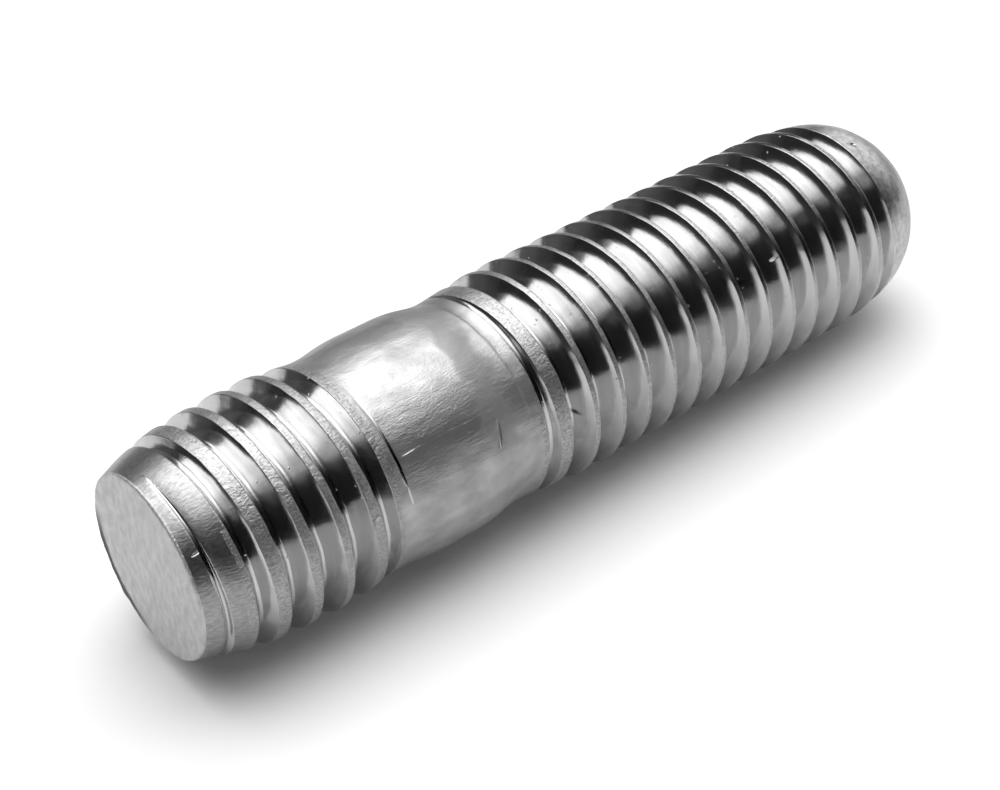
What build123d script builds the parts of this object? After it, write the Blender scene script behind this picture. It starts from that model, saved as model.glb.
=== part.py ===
"""Stud bolt (double-ended stud), M10 x 1.5, cold-formed from one steel bar with both threads rolled.

The stud stands on the flat face of its metal end: the origin is the centre of that face, and +Z runs
along the axis to the rounded nut end. All sizes are in millimetres.

The blank is one turned outline. Each thread is a right-hand V groove cut into it along a helix. Where a
groove dies out it climbs a cone until it has left the metal, as the groove of a rolled thread does.
"""

from build123d import *
import math
import os

# ---- Driving dimensions ----
# Thread, the same on both ends
thread_radius = 5.0  # over the crests
pitch = 1.5
flank_angle = 30.0  # each flank from the plane across the axis
root_flat = 0.25  # across the bottom of the groove
runout_turns = 1.4  # turns in which a groove dies out

# Metal end: the short thread that is screwed into a casting
metal_end_length = 10.0
metal_crest_flat = 0.32
metal_thread_phase = 0.105  # of a turn, where the groove passes over +X
lead_depth = 1.0  # from the crest in to the edge of the end face
lead_angle = 18.0  # slope of the tapered start
crown_depth = 0.22  # under the crest, where the taper eases off
crown_angle = 4.2  # slope from there out to the crest
end_edge = 0.12  # broken edge of the end face

# Plain shank, with a neck at each thread
shank_length = 6.5
shank_depth = 0.05  # under the crest, as are the two necks
metal_neck_depth = 0.30
nut_neck_depth = 0.37
metal_neck_setback = 0.4  # from the shank's end to the middle of the neck
nut_neck_setback = 0.9
metal_neck_slope = 2.3  # from the crest down to the neck, along the axis
nut_neck_slope = 3.6
shank_slope = 1.5  # from either neck up to the shank
neck_blend = 3.5  # radius in the bottom of a neck

# Nut end: the long thread with a rounded point
nut_end_length = 26.0
nut_crest_flat = 0.22
nut_thread_start = 1.15  # above the shank, where the groove has its full depth
point_inset = 0.25  # the ball at the tip has a radius this much under the crest's
point_angle = 9.0  # slope of the shoulder between the crest and the ball

# ---- Places along the axis ----
shank_bottom = metal_end_length
shank_top = shank_bottom + shank_length
total_length = shank_top + nut_end_length
ball_radius = thread_radius - point_inset
ball_centre = total_length - ball_radius
crown_bottom = end_edge + (lead_depth - crown_depth) / math.tan(math.radians(lead_angle))
crown_top = crown_bottom + crown_depth / math.tan(math.radians(crown_angle))
metal_neck_height = shank_bottom - metal_neck_setback
nut_neck_height = shank_top - nut_neck_setback


def blank():
    """The stud before its threads: one outline turned about the axis."""
    shank_radius = thread_radius - shank_depth
    # The shoulder is a cone that touches the ball where the two have the same slope
    slope = math.radians(point_angle)
    touch_radius = ball_radius * math.cos(slope)
    touch_height = ball_centre + ball_radius * math.sin(slope)
    shoulder_height = touch_height - (thread_radius - touch_radius) / math.tan(slope)
    side = [
        (0, 0, 0),
        (thread_radius - lead_depth - end_edge, 0, 0),
        (thread_radius - lead_depth, end_edge, 0),
        (thread_radius - crown_depth, crown_bottom, 0),
        (thread_radius, crown_top, 0),
        (thread_radius, metal_neck_height - metal_neck_slope, 0),
        (thread_radius - metal_neck_depth, metal_neck_height, neck_blend),
        (shank_radius, metal_neck_height + shank_slope, 0),
        (shank_radius, nut_neck_height - shank_slope, 0),
        (thread_radius - nut_neck_depth, nut_neck_height, neck_blend),
        (thread_radius, nut_neck_height + nut_neck_slope, 0),
        (thread_radius, shoulder_height, 0),
        (touch_radius, touch_height, 0),
    ]
    with BuildPart() as turned:
        with BuildSketch(Plane.XZ):
            with BuildLine():
                points = [(r, z) for r, z, _ in side]
                blends = [blend for _, _, blend in side[1:-1]]
                wall = FilletPolyline(points, radius=blends)
                ball = TangentArc(wall @ 1, (0, total_length), tangent=wall % 1)
                Line(ball @ 1, wall @ 0)
            make_face()
        revolve(axis=Axis.Z)
    return turned.part.solid()


def groove_section(crest_flat):
    """The V between two crests, drawn over +X, with the radius of its root and its depth."""
    widening = math.tan(math.radians(flank_angle))
    # The flanks run on past the crest by less than would make neighbouring turns meet
    past_crest = crest_flat / 2
    depth = (pitch - crest_flat - root_flat) / 2 / widening
    root = thread_radius - depth
    mouth_radius = thread_radius + past_crest
    half_mouth = root_flat / 2 + (depth + past_crest) * widening
    with BuildSketch(Plane.XZ) as section:
        with BuildLine():
            Polyline(
                (root, -root_flat / 2),
                (root, root_flat / 2),
                (mouth_radius, half_mouth),
                (mouth_radius, -half_mouth),
                close=True,
            )
        make_face()
    return section.sketch.face(), root, depth + past_crest


def full_groove(crest_flat, start, turns):
    """The groove at its full depth, one solid for each turn, from its height over +X."""
    section, root, _ = groove_section(crest_flat)
    helix = Edge.make_helix(pitch, pitch, root)
    one_turn = Solid.sweep(section, path=Wire([helix]), is_frenet=True)
    return [Pos(0, 0, start + turn * pitch) * one_turn for turn in range(turns)]


def runout_groove(crest_flat):
    """The groove that dies out upwards: it starts at its full depth over +X at height 0."""
    section, root, climb = groove_section(crest_flat)
    height = pitch * runout_turns
    slope = math.atan(climb / height)
    helix = Edge.make_helix(pitch / math.cos(slope), height, root, angle=math.degrees(slope))
    return Solid.sweep(section, path=Wire([helix]), is_frenet=True)


def metal_thread():
    """The metal end's groove: open at the end face, and dying out into the neck."""
    start = (metal_thread_phase - 1) * pitch
    room = metal_end_length - runout_turns * pitch - start
    turns = math.floor(room / pitch)
    runout = Pos(0, 0, start + turns * pitch) * runout_groove(metal_crest_flat)
    return full_groove(metal_crest_flat, start, turns) + [runout]


def nut_thread():
    """The nut end's groove: it dies out into the neck below, and on the rounded point above."""
    start = shank_top + nut_thread_start
    turns = math.floor((ball_centre - start) / pitch)
    runout = runout_groove(nut_crest_flat)
    lower = Pos(0, 0, start) * Rot(180, 0, 0) * runout
    upper = Pos(0, 0, start + turns * pitch) * runout
    return full_groove(nut_crest_flat, start, turns) + [lower, upper]


def stud_bolt():
    """The finished stud: its blank with every turn of both grooves cut away."""
    stud = blank()
    for groove in metal_thread() + nut_thread():
        stud = stud.cut(groove)
    return stud


os.makedirs("parts", exist_ok=True)
export_step(stud_bolt(), "parts/stud_bolt.step")
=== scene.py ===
"""Stud bolt: the visual model and its stage, laid out as an add-on and run as a script.

The stud is one piece of steel. Its side is a screw surface: a straight line of points along the
axis is spun about it while it climbs one pitch, so every row of points is a helix with the thread's
own pitch. Each point is then moved to its place on the crest, the flank or the root of the groove,
and the two ends are cut square and closed. Everything is in metres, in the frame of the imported
part: Z runs along the stud, from the flat face of the metal end at 0 to the rounded point of the
nut end.

The part stands on its flat end in that frame. The camera sees it lying on its side, so the stage is
turned: its floor is the plane that touches the crests at -Y, and "up" on the stage is +Y.
"""

import math

import bmesh
import bpy
from mathutils import Matrix, Vector, noise


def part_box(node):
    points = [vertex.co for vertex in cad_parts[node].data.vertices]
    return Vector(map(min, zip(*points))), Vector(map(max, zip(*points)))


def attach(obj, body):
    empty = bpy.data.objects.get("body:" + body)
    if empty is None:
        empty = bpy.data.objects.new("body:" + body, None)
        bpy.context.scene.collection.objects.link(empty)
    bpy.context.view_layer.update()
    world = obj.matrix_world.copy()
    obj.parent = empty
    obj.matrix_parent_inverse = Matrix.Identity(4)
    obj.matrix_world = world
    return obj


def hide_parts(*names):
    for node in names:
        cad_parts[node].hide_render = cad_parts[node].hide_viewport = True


bl_info = {
    "name": "Stud Bolt",
    "version": (1, 0, 0),
    "blender": (4, 5, 0),
    "location": "View3D > Sidebar > Stud Bolt",
    "description": "Builds a stud bolt with rolled threads, and the studio it is seen in",
    "category": "Add Mesh",
}

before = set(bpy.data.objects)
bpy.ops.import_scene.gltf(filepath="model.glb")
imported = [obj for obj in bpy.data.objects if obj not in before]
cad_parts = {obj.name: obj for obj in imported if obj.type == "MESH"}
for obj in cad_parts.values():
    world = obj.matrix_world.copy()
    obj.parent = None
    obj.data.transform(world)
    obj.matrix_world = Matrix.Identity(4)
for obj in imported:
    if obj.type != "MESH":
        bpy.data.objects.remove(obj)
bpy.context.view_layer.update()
NODE = "stud_bolt"
LOW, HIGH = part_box(NODE)
MM = 0.001
TURN = 2 * math.pi

# ---- Settings a user would change ----


def length(name, description, default):
    """A length property, its default given in millimetres."""
    return bpy.props.FloatProperty(
        name=name, description=description, default=default * MM, unit="LENGTH", precision=5
    )


def angle(name, description, default):
    """An angle property, its default given in degrees."""
    return bpy.props.FloatProperty(
        name=name, description=description, default=math.radians(default), subtype="ANGLE"
    )


def number(name, description, default):
    """A plain number."""
    return bpy.props.FloatProperty(name=name, description=description, default=default)


class ThreadSizes(bpy.types.PropertyGroup):
    """The rolled thread, the same on both ends."""

    radius: length("Crest radius", "Outside radius of the thread", (HIGH.x - LOW.x) / 2 / MM)
    pitch: length("Pitch", "From one crest to the next along the axis", 1.5)
    metal_flank: angle("Metal flank", "Metal end's flanks, from the plane across the axis", 30.5)
    nut_flank: angle("Nut flank", "Nut end's flanks, from the plane across the axis", 30)
    root_radius: length("Root radius", "Rounding in the bottom of the groove", 0.15)
    metal_crest: length("Metal crest", "Flat left on a full crest of the metal end", 0.32)
    nut_crest: length("Nut crest", "Flat left on a full crest of the nut end", 0.22)
    near_corner: length("Near corner", "Rounding of a crest, metal end's side", 0.02)
    far_corner: length("Far corner", "Rounding of a crest, nut end's side", 0.06)
    runout: number("Run-out", "Turns in which a groove dies out", 1.4)
    steps: bpy.props.IntProperty(
        name="Steps", description="Divisions of one turn", default=144, min=24
    )


class BlankSizes(bpy.types.PropertyGroup):
    """The blank under the threads."""

    total: length("Length", "From the flat face to the tip", HIGH.z / MM)
    end_edge: length("End edge", "Broken edge of the flat face", 0.12)
    lead_depth: length("Lead depth", "From the crest in to the flat face's edge", 1.0)
    lead_angle: angle("Lead angle", "Slope of the tapered start", 18)
    crown_depth: length("Crown depth", "Under the crest, where the taper eases off", 0.22)
    crown_angle: angle("Crown angle", "Slope from there out to the crest", 4.2)
    metal_end: length("Metal end", "Length of the metal end", 10.0)
    shank: length("Shank", "Length of the plain shank", 6.5)
    shank_depth: length("Shank depth", "The shank under the crest", 0.05)
    metal_neck: length("Metal neck", "Depth of the neck at the metal end", 0.30)
    nut_neck: length("Nut neck", "Depth of the neck at the nut end", 0.37)
    point_inset: length("Point inset", "The tip's ball under the crest's radius", 0.25)
    point_angle: angle("Point angle", "Slope of the shoulder under the ball", 9)


# ---- Shape of the stud ----

# Rows of points on half a pitch, from the groove's centre to the crest's: shares of the root's arc,
# of the flank, of the corner and of the crest
ARC_ROWS = (0.0, 0.34, 0.67, 1.0)
FLANK_ROWS = (0.5,)
CORNER_ROWS = (-1.0, -0.3, 0.3, 1.0)
CREST_ROWS = (0.5,)
HALF = len(ARC_ROWS) + len(FLANK_ROWS) + len(CORNER_ROWS) + len(CREST_ROWS)
ROWS = 2 * HALF

# The blank's outline (mm): how far the middle of each neck is from the shank's end, and how long
# each slope is on the axis
METAL_NECK_SETBACK = 0.4
NUT_NECK_SETBACK = 0.9
METAL_NECK_SLOPE = 2.3
NUT_NECK_SLOPE = 3.6
SHANK_SLOPE = 1.5
# Half the length (mm) over which each corner is swept
CROWN_SWEEP = 1.3
LEAD_SWEEP = 1.0
METAL_THREAD_SWEEP = 0.35
NECK_SWEEP = 0.7
NUT_THREAD_SWEEP = 0.5
SHOULDER_SWEEP = 0.9

# Centre of the first groove over +X, in pitches from the flat face
METAL_START = -0.895
# The rows start this many turns on from it
FIRST_TURN = -1
# Centre of the nut end's first full groove over +X, above the shank (mm)
NUT_START = 1.15
# How far (mm) the bottom of a groove is over the crest where it has died out
PAST_CREST = 0.16
# A groove dies out slowly at first and then fast
RUNOUT_POWER = 1.7
RUN_IN_POWER = 1.15
# Near the point the groove's bottom follows the blank inwards, by this share of its fall, between
# these turns of the nut end
POINT_FOLLOW = 0.8
POINT_TURNS = (10, 11)
# Where the rows between the two grooves close up (mm from either end of the shank)
SHIFT_MARGINS = (0.6, 1.4)

# How far apart points on the two sides of the seam can be (in rows, and in radians)
SEAM_GAP = 0.01
SEAM_ANGLE = 1e-5
# Rounds in which a groove's width is found on a sloping blank
WIDTH_ROUNDS = 4
# Limits of the rows that belong to the groove: half width (mm), and shares of the room they have
LEAST_WIDTH = 0.03
MOST_WIDTH = 0.93
CORNER_IN_GROOVE = 0.5
CORNER_ON_CREST = 0.9
ARC_IN_FLANK = 0.8
# Half width (mm) of a groove under which its rows spread evenly over the pitch
FADING_WIDTH = 0.12
# How far (mm) the edges of the crests wander along the axis, in how many waves to a millimetre, and
# the heights (mm) between which that sets in
CREST_WANDER = 0.025
WANDER_WAVES = 1.6
WANDER_FROM = (0.5, 1.5)

# Where the screw surface is cut square (mm), to be closed by rings
LOW_CUT = 0.13
HIGH_CUT = 40.3
# Small lengths (m): a point this near a cut is on it, a ring is at least this wide until it closes,
# and a shorter edge than this is dissolved
CUT_GAP = 1e-8
LEAST_RING = 1e-6
LEAST_EDGE = 1e-7
# Rings of the broken edge: height and inset, as shares of its size
EDGE_RINGS = ((0.55, 0.1), (0.2, 0.45))
# Rings of the flat face, as shares of its radius
FACE_RINGS = (1.0, 0.97, 0.85, 0.65, 0.45, 0.25, 0.1, 0.0)
POINT_RINGS = 14

# The flat end as the shear left it: how far up it moved the metal (mm), how much it lifted the face
# (mm), towards which side the lift grows (degrees) and how far out it has doubled (mm)
SHEAR_REACH = 1.0
SHEAR_LIFT = 0.09
LIFT_SIDE = 20
LIFT_RADIUS = 4
# The rim starts at this share of the face's radius, and its roughness dies away up the stud between
# these shares of the broken edge
RIM_START = 0.98
RIM_FADE = (0.3, 2)
# Roughness of the rim: waves to a millimetre and height (mm), broad and torn
BROAD_RIM = (1.4, 0.03)
TORN_RIM = (3, 0.05)
# The torn part is taken this much further on in the noise, so that it differs from the broad one
TORN_SLICE = 9
# Level of the torn part all round, and the angles (degrees) between which it rises and falls
TORN_LEAST = 0.3
TORN_RISE = (270, 300)
TORN_FALL = (365, 340)
# The burr: its angle and half width (degrees), and how far it stands out (mm)
BURR_ANGLE = 311
BURR_SPREAD = 3.5
BURR_HEIGHT = 0.10

# Finishes, in the order of the mesh's material slots
ROLLED, CREST, LEAD, DRAWN, SHEARED, POINT = range(6)
# A face is rolled where it lies this far (mm) under the blank
ROLLED_DEPTH = 0.01
# Between these heights (mm) what isn't rolled is drawn, and under this one it is the tapered start
DRAWN_FROM, DRAWN_TO = 9.0, 16.4
LEAD_TO = 1.75
# The point's finish starts this far (mm) under its ball
POINT_MARGIN = 0.6
# Under this share of the broken edge's height, the end is sheared
SHEARED_SHARE = 0.9


def ramp(x, blend):
    """0 below 0 and x above it, with a parabola between."""
    if x <= -blend:
        return 0.0
    if x >= blend:
        return x
    return (x + blend) ** 2 / (4 * blend)


def smooth(low, high, x):
    """0 at low and 1 at high, eased at both."""
    t = min(max((x - low) / (high - low), 0.0), 1.0)
    return t * t * (3 - 2 * t)


def least(a, b, spread):
    """The lesser of a and b, rounded off where they cross."""
    gap = b - a
    if gap >= spread:
        return a
    if gap <= -spread:
        return b
    return a - (spread - gap) ** 2 / (4 * spread)


class Blank:
    """The outline before threading: straight slopes with swept corners, and a ball at the tip."""

    def __init__(self, sizes, crest):
        self.crest = crest
        lead = math.tan(sizes.lead_angle)
        crown = math.tan(sizes.crown_angle)
        point = math.tan(sizes.point_angle)
        self.edge_z = sizes.end_edge
        self.edge_radius = crest - sizes.lead_depth
        crown_z = self.edge_z + (sizes.lead_depth - sizes.crown_depth) / lead
        crest_z = crown_z + sizes.crown_depth / crown
        metal_neck_z = sizes.metal_end - METAL_NECK_SETBACK * MM
        nut_neck_z = sizes.metal_end + sizes.shank - NUT_NECK_SETBACK * MM
        shank = crest - sizes.shank_depth
        self.ball = crest - sizes.point_inset
        self.ball_z = sizes.total - self.ball
        touch = self.ball * math.cos(sizes.point_angle)
        self.touch_z = self.ball_z + self.ball * math.sin(sizes.point_angle)
        shoulder_z = self.touch_z - (crest - touch) / point
        # Height and radius of each corner, and half the length over which it is swept
        corners = [
            (self.edge_z, self.edge_radius, 0.0),
            (crown_z, crest - sizes.crown_depth, CROWN_SWEEP * MM),
            (crest_z, crest, LEAD_SWEEP * MM),
            (metal_neck_z - METAL_NECK_SLOPE * MM, crest, METAL_THREAD_SWEEP * MM),
            (metal_neck_z, crest - sizes.metal_neck, NECK_SWEEP * MM),
            (metal_neck_z + SHANK_SLOPE * MM, shank, NECK_SWEEP * MM),
            (nut_neck_z - SHANK_SLOPE * MM, shank, NECK_SWEEP * MM),
            (nut_neck_z, crest - sizes.nut_neck, NECK_SWEEP * MM),
            (nut_neck_z + NUT_NECK_SLOPE * MM, crest, NUT_THREAD_SWEEP * MM),
            (shoulder_z, crest, SHOULDER_SWEEP * MM),
            (self.touch_z, touch, 0.0),
        ]
        slopes = [(r1 - r0) / (z1 - z0) for (z0, r0, _), (z1, r1, _) in zip(corners, corners[1:])]
        self.slope = slopes[0]
        self.bends = [
            (z, after - before, blend)
            for (z, _, blend), before, after in zip(corners[1:-1], slopes, slopes[1:])
        ]

    def radius(self, z):
        """Radius of the outline at this height."""
        if z > self.touch_z:
            return math.sqrt(max(self.ball**2 - (z - self.ball_z) ** 2, 0.0))
        r = self.edge_radius + (z - self.edge_z) * self.slope
        for place, change, blend in self.bends:
            if z > place - blend:
                r += change * ramp(z - place, blend)
        return min(r, self.crest)


class Groove:
    """Section of a thread's groove: a rounded root between two straight flanks."""

    def __init__(self, sizes, flank_angle, crest_flat):
        self.angle = flank_angle
        self.root_radius = sizes.root_radius
        self.touch = self.root_radius * math.cos(flank_angle)
        self.arc_rise = self.root_radius * (1 - math.sin(flank_angle))
        apex = sizes.radius - (sizes.pitch - crest_flat) / 2 / math.tan(flank_angle)
        self.bottom = apex + self.root_radius * (1 / math.sin(flank_angle) - 1)

    def rise(self, x):
        """Height of the groove's wall over its bottom, this far along the axis from its centre."""
        if x <= self.touch:
            return self.root_radius - math.sqrt(self.root_radius**2 - x * x)
        return self.arc_rise + (x - self.touch) / math.tan(self.angle)

    def mouth(self, depth):
        """Half the groove's width where it is this deep."""
        if depth <= 0:
            return 0.0
        if depth < self.arc_rise:
            return math.sqrt(2 * self.root_radius * depth - depth * depth)
        return self.touch + (depth - self.arc_rise) * math.tan(self.angle)


class Thread:
    """Where the two grooves run. Turns are counted from the first groove's centre over +X."""

    def __init__(self, sizes, blank_sizes, blank):
        self.pitch = sizes.pitch
        self.crest = sizes.radius
        self.runout = sizes.runout
        self.near_corner = sizes.near_corner
        self.far_corner = sizes.far_corner
        self.metal = Groove(sizes, sizes.metal_flank, sizes.metal_crest)
        self.nut = Groove(sizes, sizes.nut_flank, sizes.nut_crest)
        shank_z = blank_sizes.metal_end + blank_sizes.shank
        self.metal_z = METAL_START * self.pitch
        metal_end = blank_sizes.metal_end - self.runout * self.pitch
        self.metal_turns = math.floor((metal_end - self.metal_z) / self.pitch)
        nut_z = shank_z + NUT_START * MM
        self.nut_turns = math.floor((blank.ball_z - nut_z) / self.pitch)
        # The two grooves aren't in step, so the rows between them close up a little on the shank
        self.between = math.ceil((nut_z - self.metal_z) / self.pitch)
        self.shift = nut_z - self.metal_z - self.between * self.pitch
        self.shift_from = blank_sizes.metal_end + SHIFT_MARGINS[0] * MM
        self.shift_to = shank_z - SHIFT_MARGINS[1] * MM

    def height(self, turn):
        """Height of the groove's centre, this many turns on."""
        z = self.metal_z + turn * self.pitch
        return z + self.shift * smooth(self.shift_from, self.shift_to, z)

    def section(self, turn):
        """The groove that this turn belongs to. They change over on the shank, where neither
        cuts."""
        return self.metal if turn < self.between - 2 * self.runout else self.nut

    def root(self, turn, surface):
        """Radius at the bottom of the groove: where a groove dies out, it climbs out of the metal,
        and near the point it follows the blank inwards."""
        past = self.crest + PAST_CREST * MM
        up = turn - self.metal_turns
        nut_turn = turn - self.between
        if up <= 0:
            return self.metal.bottom
        if nut_turn >= 0:
            fall = POINT_FOLLOW * (self.crest - surface) * smooth(*POINT_TURNS, nut_turn)
            bottom = self.nut.bottom - fall
            climb = max(nut_turn - self.nut_turns, 0) / self.runout
            return bottom + climb**RUNOUT_POWER * (past - bottom)
        leaving = (up / self.runout) ** RUNOUT_POWER
        entering = (-nut_turn / self.runout) ** RUN_IN_POWER
        return min(
            self.metal.bottom + leaving * (past - self.metal.bottom),
            self.nut.bottom + entering * (past - self.nut.bottom),
        )


# Fine lines left by the edges of the dies, along the helix: height (mm) and the angle (degrees)
# where it is given, half width and depth (mm), and the angles where the line starts and ends
DIE_LINES = (
    (0.78, 125, 0.13, 0.06, 75, 230),
    (9.36, 135, 0.13, 0.06, 95, 185),
    (15.84, 110, 0.13, 0.06, 30, 185),
    (16.22, 110, 0.22, 0.08, 50, 200),
)
# Degrees over which a line fades in, and out
LINE_FADE = 40


def die_lines(around, z, pitch):
    """How deep the fine lines cut at this angle and height."""
    turned = math.degrees(around)
    depth = 0.0
    for height, at, half, deep, start, end in DIE_LINES:
        if not start < turned < end:
            continue
        off = abs(z - height * MM - (turned - at) / 360 * pitch) / (half * MM)
        if off < 1:
            fade = smooth(start, start + LINE_FADE, turned) * smooth(end, end - LINE_FADE, turned)
            depth += deep * MM * (1 - off * off) ** 2 * fade
    return depth


def row_place(thread, blank, turn, row):
    """Height, radius and depth under the blank, for a point on this row of a turn."""
    side, m = (1, row) if row <= HALF else (-1, ROWS - row)
    if side < 0:
        turn += 1
    centre = thread.height(turn)
    middle = abs(thread.height(turn + side) - centre) / 2
    groove = thread.section(turn)
    root = thread.root(turn, blank.radius(centre))
    # The groove widens as it deepens, so its width is found against the blank in a few rounds
    width = 0.0
    for _ in range(WIDTH_ROUNDS):
        width = groove.mouth(blank.radius(centre + side * width) - root)
    inner = min(max(width, LEAST_WIDTH * MM), middle * MOST_WIDTH)
    corner = thread.near_corner if side > 0 else thread.far_corner
    corner = min(corner, inner * CORNER_IN_GROOVE, (middle - inner) * CORNER_ON_CREST)
    touch = min(groove.touch, (inner - corner) * ARC_IN_FLANK)
    stops = [share * touch for share in ARC_ROWS]
    stops += [touch + share * (inner - corner - touch) for share in FLANK_ROWS]
    stops += [inner + share * corner for share in CORNER_ROWS]
    stops += [inner + corner + share * (middle - inner - corner) for share in CREST_ROWS]
    stops.append(middle)
    # Where the groove has died out, the rows spread evenly
    even = m / HALF * middle
    x = even + (stops[m] - even) * smooth(0.0, FADING_WIDTH * MM, width)
    z = centre + side * x
    surface = blank.radius(z)
    radius = least(surface, root + groove.rise(x), corner)
    return z, radius, surface - radius


def spin(bm, axis, angle, steps, climb=0.0):
    """Spins everything about the origin into a surface, which climbs by this much in a step."""
    bmesh.ops.spin(
        bm, geom=bm.verts[:] + bm.edges[:], cent=(0, 0, 0), axis=axis, dvec=(0, 0, climb),
        angle=angle, steps=steps, use_merge=False, use_normal_flip=False, use_duplicate=False,
    )


def screw_surface(bm, turns, steps):
    """A line of points along the axis, spun one turn while it climbs one pitch, and closed along
    its seam. Heights are counted in rows."""
    count = turns * ROWS
    line = bm.edges.new((bm.verts.new((1, 0, 0)), bm.verts.new((1, 0, count))))
    bmesh.ops.subdivide_edges(bm, edges=[line], cuts=count - 1)
    spin(bm, (0, 0, 1), TURN, steps, ROWS / steps)
    bmesh.ops.remove_doubles(bm, verts=bm.verts[:], dist=SEAM_GAP)


def cut_square(bm, z, outward):
    """Cuts the surface square across at this height, drops what lies beyond, and gives the edges of
    the cut."""
    cut = bmesh.ops.bisect_plane(
        bm, geom=bm.verts[:] + bm.edges[:] + bm.faces[:], dist=CUT_GAP, plane_co=(0, 0, z),
        plane_no=(0, 0, outward), clear_outer=True, clear_inner=False,
    )
    return [g for g in cut["geom_cut"] if isinstance(g, bmesh.types.BMEdge)]


def close_end(bm, edges, rings):
    """Carries a cut's edges on through rings of (height, radius), and closes the last on the
    axis."""
    radius = sum(v.co.xy.length for e in edges for v in e.verts) / len(edges) / 2
    for z, r in rings:
        grown = bmesh.ops.extrude_edge_only(bm, edges=edges)["geom"]
        verts = [g for g in grown if isinstance(g, bmesh.types.BMVert)]
        edges = [g for g in grown if isinstance(g, bmesh.types.BMEdge)]
        edges = [e for e in edges if all(v in verts for v in e.verts)]
        share = max(r, LEAST_RING) / radius
        bmesh.ops.scale(bm, vec=(share, share, 1), verts=verts)
        bmesh.ops.translate(bm, vec=(0, 0, z - verts[0].co.z), verts=verts)
        radius *= share
    bmesh.ops.pointmerge(bm, verts=verts, merge_co=(0, 0, rings[-1][0]))


def shear_end(bm, face_radius, edge):
    """Tilts the flat end a little, as the shear left it, and drags its rim out into small burrs."""
    reach = SHEAR_REACH * MM
    side_x, side_y = math.cos(math.radians(LIFT_SIDE)), math.sin(math.radians(LIFT_SIDE))
    for vert in bm.verts:
        if vert.co.z > reach:
            continue
        flat = vert.co.xy
        x, y = flat / MM
        if flat.length > face_radius * RIM_START:
            turned = math.degrees(math.atan2(y, x)) % 360
            torn = TORN_LEAST + smooth(*TORN_RISE, turned) * smooth(*TORN_FALL, turned)
            out = BROAD_RIM[1] * noise.noise(Vector((x, y, 0)) * BROAD_RIM[0])
            out += TORN_RIM[1] * torn * noise.noise(Vector((x, y, TORN_SLICE)) * TORN_RIM[0])
            off = (turned - BURR_ANGLE) / BURR_SPREAD
            out += BURR_HEIGHT * math.exp(-off * off)
            near = 1 - smooth(edge * RIM_FADE[0], edge * RIM_FADE[1], vert.co.z)
            vert.co.xy = flat * (1 + out * MM * near / flat.length)
        lift = SHEAR_LIFT * MM * (1 + (x * side_x + y * side_y) / LIFT_RADIUS)
        vert.co.z += max(lift, 0.0) * (1 - vert.co.z / reach)


def side_finish(face, depth, blank):
    """The finish of a face on the screw surface."""
    z = face.calc_center_median().z
    if min(v[depth] for v in face.verts) > ROLLED_DEPTH * MM:
        return ROLLED
    if z > blank.touch_z - POINT_MARGIN * MM:
        return POINT
    if DRAWN_FROM * MM < z < DRAWN_TO * MM:
        return DRAWN
    return LEAD if z < LEAD_TO * MM else CREST


def finish_rest(bm, known, finish):
    """Gives every face that isn't known yet the finish that goes with its height."""
    for face in bm.faces:
        if face not in known:
            face.material_index = finish(face.calc_center_median().z)
            face.smooth = True
            known.add(face)


def build_stud(settings, blank_settings):
    """The whole surface of the stud, as a mesh in the part's frame."""
    blank = Blank(blank_settings, settings.radius)
    thread = Thread(settings, blank_settings, blank)
    bm = bmesh.new()
    turns = math.ceil((blank_settings.total - thread.height(FIRST_TURN)) / thread.pitch) + 1
    screw_surface(bm, turns, settings.steps)
    depth = bm.verts.layers.float.new("depth")
    for vert in bm.verts:
        around = math.atan2(vert.co.y, vert.co.x) % TURN
        if TURN - around < SEAM_ANGLE:
            around = 0.0
        row = round(vert.co.z - ROWS * around / TURN)
        turn = FIRST_TURN + row // ROWS + around / TURN
        z, r, under = row_place(thread, blank, turn, row % ROWS)
        line = die_lines(around, z, thread.pitch)
        r -= line
        if z < blank_settings.metal_end:
            under += line
        place = Vector((r * math.cos(around), r * math.sin(around), z)) / MM
        wander = smooth(*(height * MM for height in WANDER_FROM), z)
        z += CREST_WANDER * MM * noise.noise(place * WANDER_WAVES) * wander
        vert.co = (r * math.cos(around), r * math.sin(around), z)
        vert[depth] = under
    for face in bm.faces:
        face.material_index = side_finish(face, depth, blank)
        face.smooth = True
    low = cut_square(bm, LOW_CUT * MM, -1)
    high = cut_square(bm, HIGH_CUT * MM, 1)
    known = set(bm.faces)
    edge = blank_settings.end_edge
    face_radius = blank.edge_radius - edge
    rings = [(edge * z, blank.edge_radius - edge * inset) for z, inset in EDGE_RINGS]
    close_end(bm, low, rings + [(0.0, face_radius * share) for share in FACE_RINGS])
    finish_rest(bm, known, lambda z: SHEARED if z < edge * SHEARED_SHARE else LEAD)
    shear_end(bm, face_radius, edge)
    top = math.acos((HIGH_CUT * MM - blank.ball_z) / blank.ball)
    rings = []
    for step in range(1, POINT_RINGS + 1):
        tilt = top * (1 - step / POINT_RINGS)
        rings.append((blank.ball_z + blank.ball * math.cos(tilt), blank.ball * math.sin(tilt)))
    close_end(bm, high, rings)
    finish_rest(bm, known, lambda z: POINT)
    bmesh.ops.dissolve_degenerate(bm, dist=LEAST_EDGE, edges=bm.edges[:])
    bmesh.ops.recalc_face_normals(bm, faces=bm.faces[:])
    mesh = bpy.data.meshes.new("stud")
    bm.to_mesh(mesh)
    bm.free()
    return mesh


# ---- Materials ----

# Nearly all of a noise lies between these levels
NOISE_LEAST, NOISE_MOST = 0.3, 0.7

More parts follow.
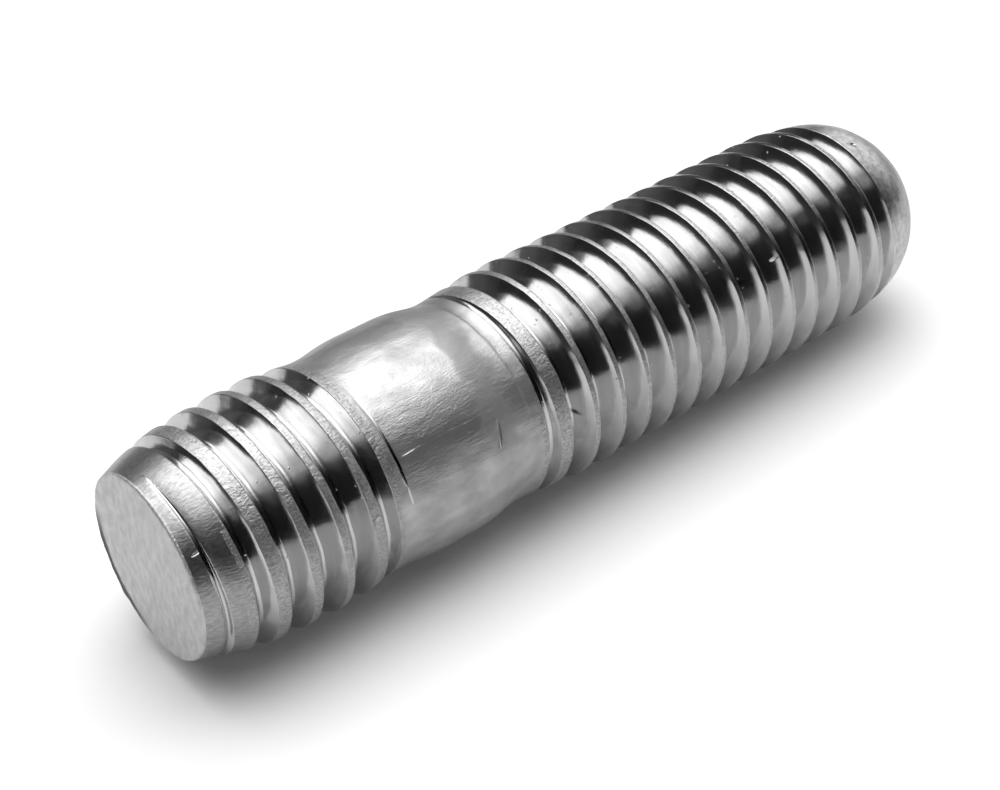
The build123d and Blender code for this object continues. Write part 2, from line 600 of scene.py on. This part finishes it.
# Nicks in each finish: height (mm) and angle (degrees) on the stud, half sizes along and across
# (mm), how far it is turned from lengthwise (degrees), and depth (mm)
NICKS = {
    ROLLED: ((30.8, 145, (0.20, 0.09), 20, 0.1),),
    CREST: ((7.7, 166, (0.3, 0.12), 15, 0.1),),
    LEAD: ((0.58, 142, (0.35, 0.10), 8, 0.1),),
    DRAWN: ((14.08, 158, (0.64, 0.16), 78, 0.5), (10.0, 145.5, (0.34, 0.04), 4, 0.05)),
    POINT: ((38.75, 107, (0.18, 0.16), 0, 0.15),),
}
# How far (mm) a nick is from the axis, and how far in and out from there it can reach
NICK_RADIUS = 5.0
NICK_REACH = 1.2
# How much of a nick's size is as deep as its middle
NICK_CORE = 0.2
# Painted shade of a small dent in a root, a dark mark: as a nick, but with its distance from the
# axis (mm) for its depth
DENT_SHADE = (18.54, 173, (0.27, 0.12), -50, 4.22)

# The scratch along the whole stud: its angle (degrees), how far it wanders and in how many waves to
# a millimetre, half widths of its bottom and its mouth, depth (mm), and breaks to a millimetre
SCORE_ANGLE = 145
SCORE_WANDER = 0.22
SCORE_WAVES = 0.4
SCORE_WIDTHS = (0.01, 0.05)
SCORE_DEPTH = 0.02
SCORE_BREAKS = 1.3


def linear(code):
    """An sRGB hex colour as the linear one that a shader takes."""
    parts = [int(code[i : i + 2], 16) / 255 for i in (1, 3, 5)]
    return [c / 12.92 if c <= 0.04045 else ((c + 0.055) / 1.055) ** 2.4 for c in parts] + [1.0]


def fill(tree, node, settings=None, links=None):
    """Gives a node its settings, and links its inputs to other nodes. A key of settings is an
    attribute, or the name or number of an input. A link comes from an output, or from the first
    one in use where a node is given."""
    for key, value in (settings or {}).items():
        if isinstance(key, str) and hasattr(node, key):
            setattr(node, key, value)
        else:
            node.inputs[key].default_value = value
    for key, source in (links or {}).items():
        if isinstance(source, bpy.types.Node):
            source = next(output for output in source.outputs if output.enabled)
        tree.links.new(source, node.inputs[key])
    return node


def add(tree, kind, settings=None, links=None):
    """Adds a shader node of this kind, with its settings and links."""
    return fill(tree, tree.nodes.new(kind), settings, links)


def metal(name):
    """A bare metal: its material, tree and shader, and the place of a point in the part's frame."""
    material = bpy.data.materials.new(name)
    material.use_nodes = True
    tree = material.node_tree
    shader = fill(tree, tree.nodes["Principled BSDF"], {"Metallic": 1.0})
    return material, tree, shader, add(tree, "ShaderNodeTexCoord").outputs["Object"]


def grain(tree, place, per_mm, detail, roughness=0.5):
    """A noise with this many marks to a millimetre along X, Y and Z."""
    spread = add(tree, "ShaderNodeMapping", {"Scale": [marks / MM for marks in per_mm]},
                 {"Vector": place})
    return add(tree, "ShaderNodeTexNoise", {"Scale": 1.0, "Detail": detail, "Roughness": roughness},
               {"Vector": spread})


def two_tone(tree, pattern, dark, light):
    """A colour that follows a noise from dark to light."""
    evened = add(tree, "ShaderNodeMapRange", {"From Min": NOISE_LEAST, "From Max": NOISE_MOST},
                 {"Value": pattern})
    return add(tree, "ShaderNodeMix", {"data_type": "RGBA", 6: linear(dark), 7: linear(light)},
               {0: evened})


def spot(tree, place, at, around, half, turned, out):
    """A small long mark, 0 in its middle and 1 outside it."""
    theta = math.radians(around)
    middle = Vector((out * math.cos(theta), out * math.sin(theta), at)) * MM
    turns = Matrix.Rotation(theta, 3, "Z") @ Matrix.Rotation(math.radians(turned), 3, "X")
    local = add(tree, "ShaderNodeMapping",
                {"vector_type": "TEXTURE", "Location": middle, "Rotation": turns.to_euler(),
                 "Scale": (NICK_REACH * MM, half[1] * MM, half[0] * MM)}, {"Vector": place})
    far = add(tree, "ShaderNodeVectorMath", {"operation": "LENGTH"}, {0: local})
    return add(tree, "ShaderNodeMapRange", {"From Min": NICK_CORE, "From Max": 1.0}, {"Value": far})


def nicked(tree, place, normal, finish):
    """Adds a finish's nicks to its normal."""
    for *mark, depth in NICKS[finish]:
        pit = spot(tree, place, *mark, NICK_RADIUS)
        normal = add(tree, "ShaderNodeBump", {"Strength": 1.0, "Distance": depth * MM},
                     {"Height": pit, "Normal": normal})
    return normal


def score_line(tree, place, normal):
    """Adds the faint scratch that runs the whole length of the stud, a little crooked."""
    theta = math.radians(SCORE_ANGLE)
    across = add(tree, "ShaderNodeVectorMath",
                 {"operation": "DOT_PRODUCT", 1: (-math.sin(theta), math.cos(theta), 0)},
                 {0: place})
    crooked = grain(tree, place, (0, 0, SCORE_WAVES), 3.0)
    wander = add(tree, "ShaderNodeMapRange",
                 {"To Min": -SCORE_WANDER * MM, "To Max": SCORE_WANDER * MM}, {"Value": crooked})
    off = add(tree, "ShaderNodeMath", {"operation": "ADD"}, {0: across, 1: wander})
    size = add(tree, "ShaderNodeMath", {"operation": "ABSOLUTE"}, {0: off})
    groove = add(tree, "ShaderNodeMapRange",
                 {"From Min": SCORE_WIDTHS[0] * MM, "From Max": SCORE_WIDTHS[1] * MM},
                 {"Value": size})
    broken = grain(tree, place, (0, 0, SCORE_BREAKS), 3.0)
    pressed = add(tree, "ShaderNodeMapRange", {"From Min": 0.41, "From Max": 0.60, "To Max": 0.4},
                  {"Value": broken})
    return add(tree, "ShaderNodeBump", {"Distance": SCORE_DEPTH * MM},
               {"Height": groove, "Normal": normal, "Strength": pressed})


def rolled_steel():
    """Thread-rolled steel: the die irons the flanks and the root to a near mirror. Faint streaks
    along the groove draw out the bright and dark bands, a few specks of scale catch the light, and
    one dark mark in the root of the nut end is a painted shade of a small dent."""
    material, tree, shader, place = metal("thread_rolled_steel")
    # Real streaks are 0.02 mm wide. Those would not show, so these are drawn 0.1 mm wide.
    streaks = grain(tree, place, (0.4, 0.4, 9), 3.0)
    colour = two_tone(tree, streaks, "#AEAEAE", "#BABABA")
    # Painted shade: a small dent in the nut end's root is painted dark
    dent_shade_mask = spot(tree, place, *DENT_SHADE)
    dent_shaded = add(tree, "ShaderNodeMix", {"data_type": "RGBA", 6: linear("#2C2C2C")},
                 {0: dent_shade_mask, 7: colour})
    ripple = grain(tree, place, (5, 5, 5), 4.0)
    ridged = add(tree, "ShaderNodeBump", {"Strength": 0.6, "Distance": 0.005 * MM},
                 {"Height": streaks})
    rippled = add(tree, "ShaderNodeBump", {"Strength": 0.6, "Distance": 0.004 * MM},
                  {"Height": ripple, "Normal": ridged})
    # About three cells to a millimetre, and a speck in one of ten
    apart = add(tree, "ShaderNodeMapping", {"Scale": (3.2 / MM, 3.2 / MM, 3.2 / MM)},
                {"Vector": place})
    cells = add(tree, "ShaderNodeTexVoronoi", {"Scale": 1.0}, {"Vector": apart})
    speck = add(tree, "ShaderNodeMapRange",
                {"From Min": 0.03, "From Max": 0.16, "To Min": 1.0, "To Max": 0.0},
                {"Value": cells.outputs["Distance"]})
    chance = add(tree, "ShaderNodeSeparateColor", None, {0: cells.outputs["Color"]})
    few = add(tree, "ShaderNodeMath", {"operation": "GREATER_THAN", 1: 0.9}, {0: chance})
    scale = add(tree, "ShaderNodeMath", {"operation": "MULTIPLY"}, {0: speck, 1: few})
    flecked = add(tree, "ShaderNodeBump", {"Strength": 0.8, "Distance": 0.02 * MM},
                  {"Height": scale, "Normal": rippled})
    normal = nicked(tree, place, flecked, ROLLED)
    fill(tree, shader, {"Roughness": 0.17}, {"Base Color": dent_shaded, "Normal": normal})
    return material


def crest_steel():
    """Crest of a rolled thread: metal that was pushed up between the grooves without meeting the
    die, so it stays rough. Its short strokes across the crest give a bright frost that glitters,
    and that fades towards the point, where the crests are narrow and smoother."""
    material, tree, shader, place = metal("raw_crest_steel")
    strokes = grain(tree, place, (12, 12, 8), 3.0, 0.6)
    patches = grain(tree, place, (2.5, 2.5, 2), 2.0)
    colour = two_tone(tree, strokes, "#7A7A7A", "#B2B2B2")
    axes = add(tree, "ShaderNodeSeparateXYZ", None, {0: place})
    rough = add(tree, "ShaderNodeMapRange",
                {"From Min": 22 * MM, "From Max": 30 * MM, "To Min": 0.42, "To Max": 0.24},
                {"Value": axes.outputs["Z"]})
    raw = add(tree, "ShaderNodeMapRange",
              {"From Min": 16 * MM, "From Max": 27 * MM, "To Min": 1.0, "To Max": 0.2},
              {"Value": axes.outputs["Z"]})
    soft = add(tree, "ShaderNodeBump", {"Distance": 0.03 * MM},
               {"Height": patches, "Strength": raw})
    frost = add(tree, "ShaderNodeBump", {"Distance": 0.028 * MM},
                {"Height": strokes, "Normal": soft, "Strength": raw})
    normal = nicked(tree, place, frost, CREST)
    fill(tree, shader, None, {"Base Color": colour, "Roughness": rough, "Normal": normal})
    return material


def lead_steel():
    """Tapered start of the blank, pressed to shape: satin, with fine strokes along the stud, so
    that its highlight stays broad and soft."""
    material, tree, shader, place = metal("pressed_lead_steel")
    strokes = grain(tree, place, (12, 12, 1.5), 4.0, 0.6)
    colour = two_tone(tree, strokes, "#7A7A7A", "#A2A2A2")
    pressed = add(tree, "ShaderNodeBump", {"Strength": 0.8, "Distance": 0.016 * MM},
                  {"Height": strokes})
    normal = nicked(tree, place, score_line(tree, place, pressed), LEAD)
    fill(tree, shader, {"Roughness": 0.33}, {"Base Color": colour, "Normal": normal})
    return material


def drawn_steel():
    """Cold-drawn steel: the plain shank, satin. Its orange-peel grain breaks up the highlight, fine
    scratches run lengthwise from the drawing die, and a patch near the nut end, on its upper side
    only, is rougher and painted darker: a painted shade that dims the highlight there."""
    material, tree, shader, place = metal("cold_drawn_steel")
    # Real scratches are 0.01 mm wide. Those would not show, so these are drawn 0.09 mm wide.
    scratches = grain(tree, place, (11, 11, 0.8), 3.0, 0.6)
    peel = grain(tree, place, (13, 13, 9), 4.0, 0.6)
    clouds = grain(tree, place, (1.1, 1.1, 0.8), 4.0)
    colour = two_tone(tree, clouds, "#949494", "#AAAAAA")
    # The rougher patch with painted shade: its lower and its upper end, both uneven, and its edges
    # round the stud
    axes = add(tree, "ShaderNodeSeparateXYZ", None, {0: place})
    uneven = add(tree, "ShaderNodeMath", {"operation": "MULTIPLY_ADD", 1: 1.6 * MM, 2: -0.8 * MM},
                 {0: clouds})
    along = add(tree, "ShaderNodeMath", {"operation": "ADD"}, {0: axes.outputs["Z"], 1: uneven})
    begins = add(tree, "ShaderNodeMapRange",
                 {"interpolation_type": "SMOOTHSTEP", "From Min": 13.5 * MM, "From Max": 13.9 * MM},
                 {"Value": along})
    ends = add(tree, "ShaderNodeMapRange",
               {"interpolation_type": "SMOOTHSTEP", "From Min": 14.7 * MM, "From Max": 15.5 * MM,
                "To Min": 0.85, "To Max": 0.0}, {"Value": along})
    upper = add(tree, "ShaderNodeMapRange",
                {"interpolation_type": "SMOOTHSTEP", "From Min": 0.0, "From Max": 3.0 * MM},
                {"Value": axes.outputs["Y"]})
    band = add(tree, "ShaderNodeMath", {"operation": "MULTIPLY"}, {0: begins, 1: ends})
    dull_and_shade = add(tree, "ShaderNodeMath", {"operation": "MULTIPLY"}, {0: band, 1: upper})
    # Painted shade: the colour darkens in the patch on the upper side only, dimming the highlight
    darkened_colour = add(tree, "ShaderNodeMix", {"data_type": "RGBA", 7: linear("#8C8C8C")},
                 {0: dull_and_shade, 6: colour})
    rough = add(tree, "ShaderNodeMapRange",
                {"From Min": NOISE_LEAST, "From Max": NOISE_MOST, "To Min": 0.50, "To Max": 0.38},
                {"Value": clouds})
    rougher = add(tree, "ShaderNodeMath", {"operation": "MULTIPLY_ADD", 1: 0.18},
                  {0: dull_and_shade, 2: rough})
    waved = add(tree, "ShaderNodeBump", {"Strength": 1.0, "Distance": 0.05 * MM},
                {"Height": clouds})
    pitted = add(tree, "ShaderNodeBump", {"Strength": 0.8, "Distance": 0.018 * MM},
                 {"Height": peel, "Normal": waved})
    scratched = add(tree, "ShaderNodeBump", {"Strength": 0.5, "Distance": 0.02 * MM},
                    {"Height": scratches, "Normal": pitted})
    normal = nicked(tree, place, score_line(tree, place, scratched), DRAWN)
    fill(tree, shader, None, {"Base Color": darkened_colour, "Roughness": rougher, "Normal": normal})
    return material


def sheared_steel():
    """Sheared steel: the flat end face, torn as much as cut. Matte and light, with faint soft
    marks, and a painted shade on its rim where the burr curls over."""
    material, tree, shader, place = metal("sheared_steel")
    torn = grain(tree, place, (2.8, 1.5, 1.0), 5.0, 0.6)
    colour = two_tone(tree, torn, "#A6A6A6", "#C4C4C4")
    flat = add(tree, "ShaderNodeMapping", {"Scale": (1, 1, 0)}, {"Vector": place})
    far = add(tree, "ShaderNodeVectorMath", {"operation": "LENGTH"}, {0: flat})
    ragged = add(tree, "ShaderNodeMath", {"operation": "MULTIPLY_ADD", 1: 0.5 * MM, 2: -0.25 * MM},
                 {0: torn})
    wide = add(tree, "ShaderNodeMath", {"operation": "ADD"}, {0: far, 1: ragged})
    # Painted shade: the rim on the burr's side is painted dark, where the curled burr is unlit
    rim = add(tree, "ShaderNodeMapRange", {"From Min": 3.44 * MM, "From Max": 3.6 * MM},
              {"Value": wide})
    burr_side = (math.cos(math.radians(325)), math.sin(math.radians(325)), 0)
    side = add(tree, "ShaderNodeVectorMath", {"operation": "DOT_PRODUCT", 1: burr_side}, {0: place})
    reach = add(tree, "ShaderNodeMapRange", {"From Min": 2.4 * MM, "From Max": 3.4 * MM},
                {"Value": side})
    burr_shade_mask = add(tree, "ShaderNodeMath", {"operation": "MULTIPLY"}, {0: rim, 1: reach})
    burr_shaded = add(tree, "ShaderNodeMix", {"data_type": "RGBA", 7: linear("#3C3C3C")},
                {0: burr_shade_mask, 6: colour})
    rough = add(tree, "ShaderNodeBump", {"Strength": 1.0, "Distance": 0.1 * MM}, {"Height": torn})
    fill(tree, shader, {"Roughness": 0.5}, {"Base Color": burr_shaded, "Normal": rough})
    return material


def point_steel():
    """Cold-headed steel: the rounded point, satin and speckled by the die, duller towards its
    tip."""
    material, tree, shader, place = metal("cold_headed_steel")
    speckle = grain(tree, place, (3.5, 3.5, 3.5), 4.0, 0.6)
    colour = two_tone(tree, speckle, "#8A8A8A", "#C4C4C4")
    axes = add(tree, "ShaderNodeSeparateXYZ", None, {0: place})
    duller = add(tree, "ShaderNodeMapRange",
                 {"From Min": 39.0 * MM, "From Max": 40.4 * MM, "To Max": 0.75},
                 {"Value": axes.outputs["Z"]})
    darkened_colour = add(tree, "ShaderNodeMix", {"data_type": "RGBA", 7: linear("#6C6C6C")},
                 {0: duller, 6: colour})
    dimpled = add(tree, "ShaderNodeBump", {"Strength": 1.0, "Distance": 0.018 * MM},
                  {"Height": speckle})
    normal = nicked(tree, place, dimpled, POINT)
    fill(tree, shader, {"Roughness": 0.33}, {"Base Color": darkened_colour, "Normal": normal})
    return material


# In the order of the mesh's material slots
FINISHES = (rolled_steel, crest_steel, lead_steel, drawn_steel, sheared_steel, point_steel)


# ---- Operators ----


class STUD_OT_stud(bpy.types.Operator):
    """Builds the stud, threads and all, and gives each surface its finish."""

    bl_idname = "stud.build_stud"
    bl_label = "Build stud"

    def execute(self, context):
        scene = context.scene
        mesh = build_stud(scene.stud_thread, scene.stud_blank)
        for make in FINISHES:
            mesh.materials.append(make())
        stud = bpy.data.objects.new("stud", mesh)
        scene.collection.objects.link(stud)
        even = stud.modifiers.new("even_normals", "WEIGHTED_NORMAL")
        even.keep_sharp = True
        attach(stud, "root")
        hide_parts(NODE)
        return {"FINISHED"}


# Stage axes in the part's frame: along the stud, away from the camera, and up
STAGE = Matrix(((0, 1, 0), (0, 0, 1), (1, 0, 0)))
# How much the paper glows where it is seen, and how much light comes from all round the stage
PAPER_GLOW = 0.05
ROOM_LIGHT = 0.05

# The softbox's arch (m), the angles of its two feet over the floor (degrees, from the far end), and
# the parts that it is bent from
ARCH_RADIUS = 0.45
ARCH_FEET = (2, 135)
ARCH_PARTS = 24
# Across the stud, in radii of the arch: its front edge, where its light is full, and its back edge
ARCH_FRONT, ARCH_FULL, ARCH_BACK = -0.82, 0.08, 0.76
# Its back edge lies further back by this much (m), and more so towards the near end by this slope
BACK_SHIFT = 0.038
BACK_SLOPE = -0.2
# How the cloth's light changes: axis of the part's frame, where the change starts and ends (in
# radii of the arch), the level at either end, and how it goes between
CLOTH_FADES = {
    "feather": ("X", (ARCH_FRONT, ARCH_FULL), (0.0, 5.5), "SMOOTHSTEP"),
    "dimmer": ("Z", (0.3, 0.9), (1.0, 0.0), "LINEAR"),
    "foot": ("Z", (0.76, 0.9), (0.0, 0.28), "SMOOTHSTEP"),
    "behind": ("X", (-0.4, 0.1), (0.0, 1.0), "SMOOTHSTEP"),
    "softer": ("Z", (-0.5, 0.15), (0.34, 1.0), "LINEAR"),
}

# Side of the room (m), how far its floor is under the paper (m), and how far from the middle a
# wall's centre is counted as on that side (m)
ROOM = 1.3
ROOM_DROP = 0.001
WALL_FROM = 0.6

# Where the camera looks (mm), on the stage's axes
CAMERA_TARGET = (17.9, 0, -0.5375)


def aim(location, target, up):
    """The rotation that looks from location to target with this direction upwards."""
    back = (location - target).normalized()
    right = up.cross(back).normalized()
    return Matrix((right, back.cross(right), back)).transposed().to_4x4()


class StageSizes(bpy.types.PropertyGroup):
    """The studio the stud is seen in."""

    camera_turn: angle("Camera turn", "Round from the stud's own direction", 51.0)
    camera_rise: angle("Camera rise", "Above the floor", 35.973)
    camera_roll: angle("Camera roll", "About its own view", -2.234)
    camera_distance: length("Camera distance", "To the point looked at", 82.63)
    camera_lens: number("Lens", "Focal length on a 36 mm frame, in millimetres", 68.454)
    floor_size: length("Floor size", "Side of the floor", 230)


class STUD_OT_stage(bpy.types.Operator):
    """Builds the floor, the lights and the camera."""

    bl_idname = "stud.build_stage"
    bl_label = "Build stage"

    def execute(self, context):
        scene = context.scene
        sizes = scene.stud_stage
        crest = scene.stud_thread.radius
        build_floor(scene, sizes, crest)
        build_softbox(scene)
        build_walls(scene, crest)
        build_world(scene)
        build_camera(scene, sizes)
        return {"FINISHED"}


def build_floor(scene, sizes, crest):
    """A sheet of paper under the stud's crests."""
    bm = bmesh.new()
    bmesh.ops.create_grid(bm, x_segments=1, y_segments=1, size=sizes.floor_size / 2)
    bmesh.ops.translate(bm, vec=(0, 0, -crest), verts=bm.verts[:])
    stage_object(scene, "floor", bm, [floor_white()])


def stage_object(scene, name, bm, materials, shown=True):
    """Puts a finished bmesh, in stage axes, on the stage, where the camera sees it or not."""
    mesh = bpy.data.meshes.new(name)
    bm.to_mesh(mesh)
    bm.free()
    mesh.transform(STAGE.to_4x4())
    for material in materials:
        mesh.materials.append(material)
    piece = bpy.data.objects.new(name, mesh)
    piece.visible_camera = shown
    scene.collection.objects.link(piece)


def plain(name):
    """A material without nodes, and its tree."""
    material = bpy.data.materials.new(name)
    material.use_nodes = True
    material.node_tree.nodes.clear()
    return material, material.node_tree


def seen(tree):
    """1 for what the camera sees, itself or in metal, and 0 for what only lights the scene."""
    ray = add(tree, "ShaderNodeLightPath")
    metals = add(tree, "ShaderNodeMath", {"operation": "MAXIMUM"},
                 {0: ray.outputs["Is Glossy Ray"], 1: ray.outputs["Is Transmission Ray"]})
    return add(tree, "ShaderNodeMath", {"operation": "MAXIMUM"},
               {0: ray.outputs["Is Camera Ray"], 1: metals})


def floor_white():
    """White paper: matte, and a plain white in the light. It glows faintly where it is seen, so
    that its edges meet the white round it, and its back lets the camera through."""
    material, tree = plain("matte_white_paper")
    paper = add(tree, "ShaderNodeBsdfDiffuse", {"Color": linear("#DDDDDD")})
    glow = add(tree, "ShaderNodeEmission", {"Color": linear("#FFFFFF"), "Strength": PAPER_GLOW})
    lit = add(tree, "ShaderNodeAddShader", None, {0: paper, 1: glow})
    front = add(tree, "ShaderNodeMixShader", None, {0: seen(tree), 1: paper, 2: lit})
    side = add(tree, "ShaderNodeNewGeometry")
    clear = add(tree, "ShaderNodeBsdfTransparent")
    both = add(tree, "ShaderNodeMixShader", None,
               {0: side.outputs["Backfacing"], 1: front, 2: clear})
    add(tree, "ShaderNodeOutputMaterial", None, {"Surface": both})
    return material


def softbox_cloth():
    """Lit cloth of the softbox: brightest overhead, dimmer down towards both ends, bright again at
    its far foot, and with its front edge feathered off into the dark."""
    material, tree = plain("lit_softbox_cloth")
    axes = add(tree, "ShaderNodeSeparateXYZ", None,
               {0: add(tree, "ShaderNodeTexCoord").outputs["Object"]})
    fades = {}
    for name, (axis, where, levels, manner) in CLOTH_FADES.items():
        settings = {"interpolation_type": manner, "From Min": where[0] * ARCH_RADIUS,
                    "From Max": where[1] * ARCH_RADIUS, "To Min": levels[0], "To Max": levels[1]}
        fades[name] = add(tree, "ShaderNodeMapRange", settings, {"Value": axes.outputs[axis]})
    far_foot = add(tree, "ShaderNodeMath", {"operation": "MULTIPLY"},
                   {0: fades["foot"], 1: fades["behind"]})
    lower = add(tree, "ShaderNodeMath", {"operation": "MAXIMUM"}, {0: fades["dimmer"], 1: far_foot})
    ends = add(tree, "ShaderNodeMath", {"operation": "MULTIPLY"}, {0: fades["softer"], 1: lower})
    level = add(tree, "ShaderNodeMath", {"operation": "MULTIPLY"}, {0: fades["feather"], 1: ends})
    cloth = add(tree, "ShaderNodeEmission", {"Color": linear("#FFFFFF")}, {"Strength": level})
    add(tree, "ShaderNodeOutputMaterial", None, {"Surface": cloth})
    return material


def felt(name, code):
    """Felt of the studio's walls: matte, and dark where no light should come from."""
    material, tree = plain(name)
    cloth = add(tree, "ShaderNodeBsdfDiffuse", {"Color": linear(code)})
    add(tree, "ShaderNodeOutputMaterial", None, {"Surface": cloth})
    return material


def build_softbox(scene):
    """One softbox, arched over the stud from its far end. It lights and reflects but isn't seen."""
    low, high = (math.radians(foot) for foot in ARCH_FEET)
    bm = bmesh.new()
    edge = [
        bm.verts.new(
            (ARCH_RADIUS * math.cos(low), share * ARCH_RADIUS, ARCH_RADIUS * math.sin(low))
        )
        for share in (ARCH_FRONT, ARCH_BACK)
    ]
    bm.edges.new(edge)
    spin(bm, (0, -1, 0), high - low, ARCH_PARTS)
    skew = Matrix(((1, 0, 0, 0), (BACK_SLOPE, 1, 0, BACK_SHIFT), (0, 0, 1, 0), (0, 0, 0, 1)))
    behind = [v for v in bm.verts if v.co.y > 0]
    bmesh.ops.transform(bm, matrix=skew, verts=behind)
    stage_object(scene, "softbox", bm, [softbox_cloth()], shown=False)


def build_walls(scene, crest):
    """The room round the stage: black, but grey behind the stud and past its near end."""
    bm = bmesh.new()
    bmesh.ops.create_cube(bm, size=ROOM)
    bmesh.ops.translate(bm, vec=(0, 0, ROOM / 2 - crest - ROOM_DROP), verts=bm.verts[:])
    for face in bm.faces:
        middle = face.calc_center_median()
        face.material_index = 1 if middle.y > WALL_FROM else 2 if middle.x < -WALL_FROM else 0
    bmesh.ops.reverse_faces(bm, faces=bm.faces[:])
    felts = (("black_felt", "#080808"), ("pale_grey_felt", "#B0B0B0"), ("grey_felt", "#606060"))
    stage_object(scene, "walls", bm, [felt(*cloth) for cloth in felts], shown=False)


def build_world(scene):
    """White where it is seen, and nearly dark where it would light the scene."""
    world = bpy.data.worlds.new("studio")
    scene.world = world
    world.use_nodes = True
    tree = world.node_tree
    tree.nodes.clear()
    room = add(tree, "ShaderNodeBackground", {"Color": linear("#FFFFFF"), "Strength": ROOM_LIGHT})
    white = add(tree, "ShaderNodeBackground", {"Color": linear("#FFFFFF"), "Strength": 1.0})
    both = add(tree, "ShaderNodeMixShader", None, {0: seen(tree), 1: room, 2: white})
    add(tree, "ShaderNodeOutputWorld", None, {"Surface": both})
    scene.view_settings.view_transform = "Standard"


def build_camera(scene, sizes):
    """The camera, turned and raised about the point it looks at."""
    target = STAGE @ Vector([part * MM for part in CAMERA_TARGET])
    rise, turn = sizes.camera_rise, sizes.camera_turn
    level = math.cos(rise)
    toward = Vector((-level * math.cos(turn), -level * math.sin(turn), math.sin(rise)))
    place = target + STAGE @ toward * sizes.camera_distance
    data = bpy.data.cameras.new("camera")
    data.sensor_width = 36.0
    data.lens = sizes.camera_lens
    data.clip_start = 1 * MM
    data.clip_end = 10.0
    camera = bpy.data.objects.new("camera", data)
    look = aim(place, target, STAGE @ Vector((0, 0, 1)))
    roll = Matrix.Rotation(sizes.camera_roll, 4, "Z")
    camera.matrix_world = Matrix.Translation(place) @ look @ roll
    scene.collection.objects.link(camera)
    scene.camera = camera


# ---- Panel and registration ----


class STUD_PT_panel(bpy.types.Panel):
    """Lists the steps that build the stud and its stage."""

    bl_idname = "STUD_PT_panel"
    bl_label = "Stud Bolt"
    bl_space_type = "VIEW_3D"
    bl_region_type = "UI"
    bl_category = "Stud Bolt"

    def draw(self, context):
        layout = self.layout
        for operator in OPERATORS:
            layout.operator(operator.bl_idname)
        for name, group in GROUPS:
            box = layout.box()
            for key in group.__annotations__:
                box.prop(getattr(context.scene, name), key)


GROUPS = (("stud_thread", ThreadSizes), ("stud_blank", BlankSizes), ("stud_stage", StageSizes))
OPERATORS = (STUD_OT_stud, STUD_OT_stage)
CLASSES = tuple(group for _, group in GROUPS) + OPERATORS + (STUD_PT_panel,)


def register():
    for cls in CLASSES:
        bpy.utils.register_class(cls)
    for name, group in GROUPS:
        setattr(bpy.types.Scene, name, bpy.props.PointerProperty(type=group))


def unregister():
    for name, _ in GROUPS:
        delattr(bpy.types.Scene, name)
    for cls in reversed(CLASSES):
        bpy.utils.unregister_class(cls)


def main():
    register()
    bpy.ops.stud.build_stud()
    bpy.ops.stud.build_stage()


if __name__ == "__main__":
    main()
